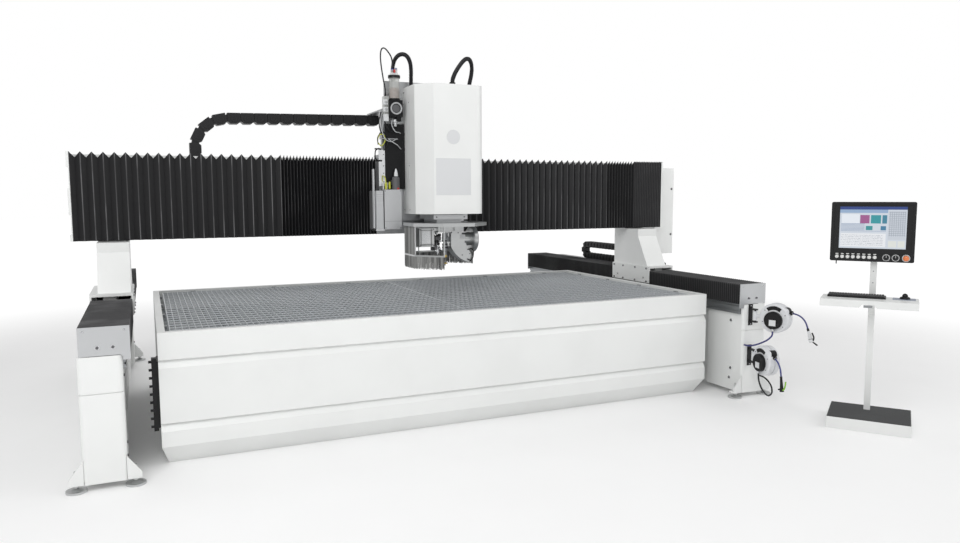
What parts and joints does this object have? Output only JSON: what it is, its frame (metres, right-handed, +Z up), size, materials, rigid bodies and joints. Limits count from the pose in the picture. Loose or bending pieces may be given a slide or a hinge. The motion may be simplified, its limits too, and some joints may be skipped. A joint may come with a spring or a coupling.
{
  "type": "gantry waterjet cutting machine",
  "caption": "Gantry waterjet cutting machine with a grated water tank, bellows-covered rails and bridge, tilting jet head, hose reels and a stand-alone operator console.",
  "frame": {"origin": "centre of the tank's footprint on the floor", "axes": "+X along the tank and the bridge, +Y away from the operator along the side rails, +Z up"},
  "size_m": [5.9864, 5.3667, 3.067],
  "materials": {
    "white_paint": "smooth white powder coat",
    "grey_metal": "zinc grey sheet",
    "stainless": "brushed stainless steel",
    "galvanised": "galvanised bar grating",
    "bellows_cloth": "coated folded cloth",
    "black_plastic": "moulded black plastic",
    "reel_plastic": "moulded light grey plastic",
    "hose_rubber": "smooth rubber hose",
    "clear_plastic": "clear moulded plastic",
    "dark_housing": "dark screen housing",
    "tool_steel": "machined steel"
  },
  "bodies": {
    "root": {"tank_front_wall": "white_paint", "tank_back_wall": "white_paint", "tank_side_walls": "white_paint", "tank_floor": "stainless", "tank_plinth": "white_paint", "grate": "galvanised", "grate_beams": "galvanised", "jet_manifold": "black_plastic", "right_base": "white_paint", "left_base": "white_paint", "leg_covers": "white_paint", "levelling_feet": "stainless", "side_rails": "tool_steel", "rail_end_plates": "grey_metal", "front_right_bellows": "bellows_cloth", "front_left_bellows": "bellows_cloth", "rear_right_bellows": "bellows_cloth", "rear_left_bellows": "bellows_cloth", "long_cable_chain": "black_plastic", "long_chain_tray": "grey_metal", "reel_brackets": "black_plastic", "upper_feed_hose": "hose_rubber", "lower_feed_hose": "hose_rubber", "console_base": "white_paint", "console_post": "white_paint", "monitor": "dark_housing", "keyboard_tray": "white_paint"},
    "gantry": {"gantry_shoes": "white_paint", "gantry_columns": "white_paint", "bridge_beam": "white_paint", "bridge_rails": "tool_steel", "left_bridge_bellows": "bellows_cloth", "right_bridge_bellows": "bellows_cloth", "cabinet": "white_paint", "cross_cable_chain": "black_plastic"},
    "carriage": {"saddle": "grey_metal", "head_cover": "white_paint", "side_equipment": "grey_metal", "abrasive_hopper": "clear_plastic", "head_conduits": "hose_rubber"},
    "ram": {"lifting_ram": "grey_metal", "splash_plate": "stainless", "brush_skirt": "black_plastic"},
    "head_swivel": {"swivel_arm": "stainless", "tilt_motor": "stainless"},
    "nozzle": {"cutting_head": "tool_steel"},
    "upper_reel_swivel": {"upper_reel": "reel_plastic", "upper_hose": "hose_rubber", "upper_spray_gun": "black_plastic"},
    "lower_reel_swivel": {"lower_reel": "reel_plastic", "lower_hose": "hose_rubber", "lower_spray_gun": "black_plastic"}
  },
  "joints": [
    {"name": "gantry_slide", "type": "slide", "parent": "root", "child": "gantry", "axis": [0, 1, 0], "range_m": [-0.85, 1.2], "deforming": ["front_right_bellows", "front_left_bellows", "rear_right_bellows", "rear_left_bellows"]},
    {"name": "carriage_slide", "type": "slide", "parent": "gantry", "child": "carriage", "axis": [1, 0, 0], "range_m": [-1.95, 1.75], "deforming": ["left_bridge_bellows", "right_bridge_bellows"]},
    {"name": "head_slide", "type": "slide", "parent": "carriage", "child": "ram", "axis": [0, 0, 1], "range_m": [-0.22, 0]},
    {"name": "head_rotation", "type": "hinge", "parent": "ram", "child": "head_swivel", "pos_m": [0.16, -0.17, 1.5], "axis": [0, 0, 1], "range_deg": [-180, 180]},
    {"name": "nozzle_tilt", "type": "hinge", "parent": "head_swivel", "child": "nozzle", "pos_m": [0.16, -0.17, 1.395], "axis": [1, 0, 0], "range_deg": [-60, 60]},
    {"name": "upper_reel_turn", "type": "hinge", "parent": "root", "child": "upper_reel_swivel", "pos_m": [2.52, -1.517, 0.738], "axis": [0, 0, 1], "range_deg": [-72, 18], "deforming": ["upper_feed_hose"]},
    {"name": "lower_reel_turn", "type": "hinge", "parent": "root", "child": "lower_reel_swivel", "pos_m": [2.52, -1.517, 0.381], "axis": [0, 0, 1], "range_deg": [-35, 50], "deforming": ["lower_feed_hose"]}
  ]
}
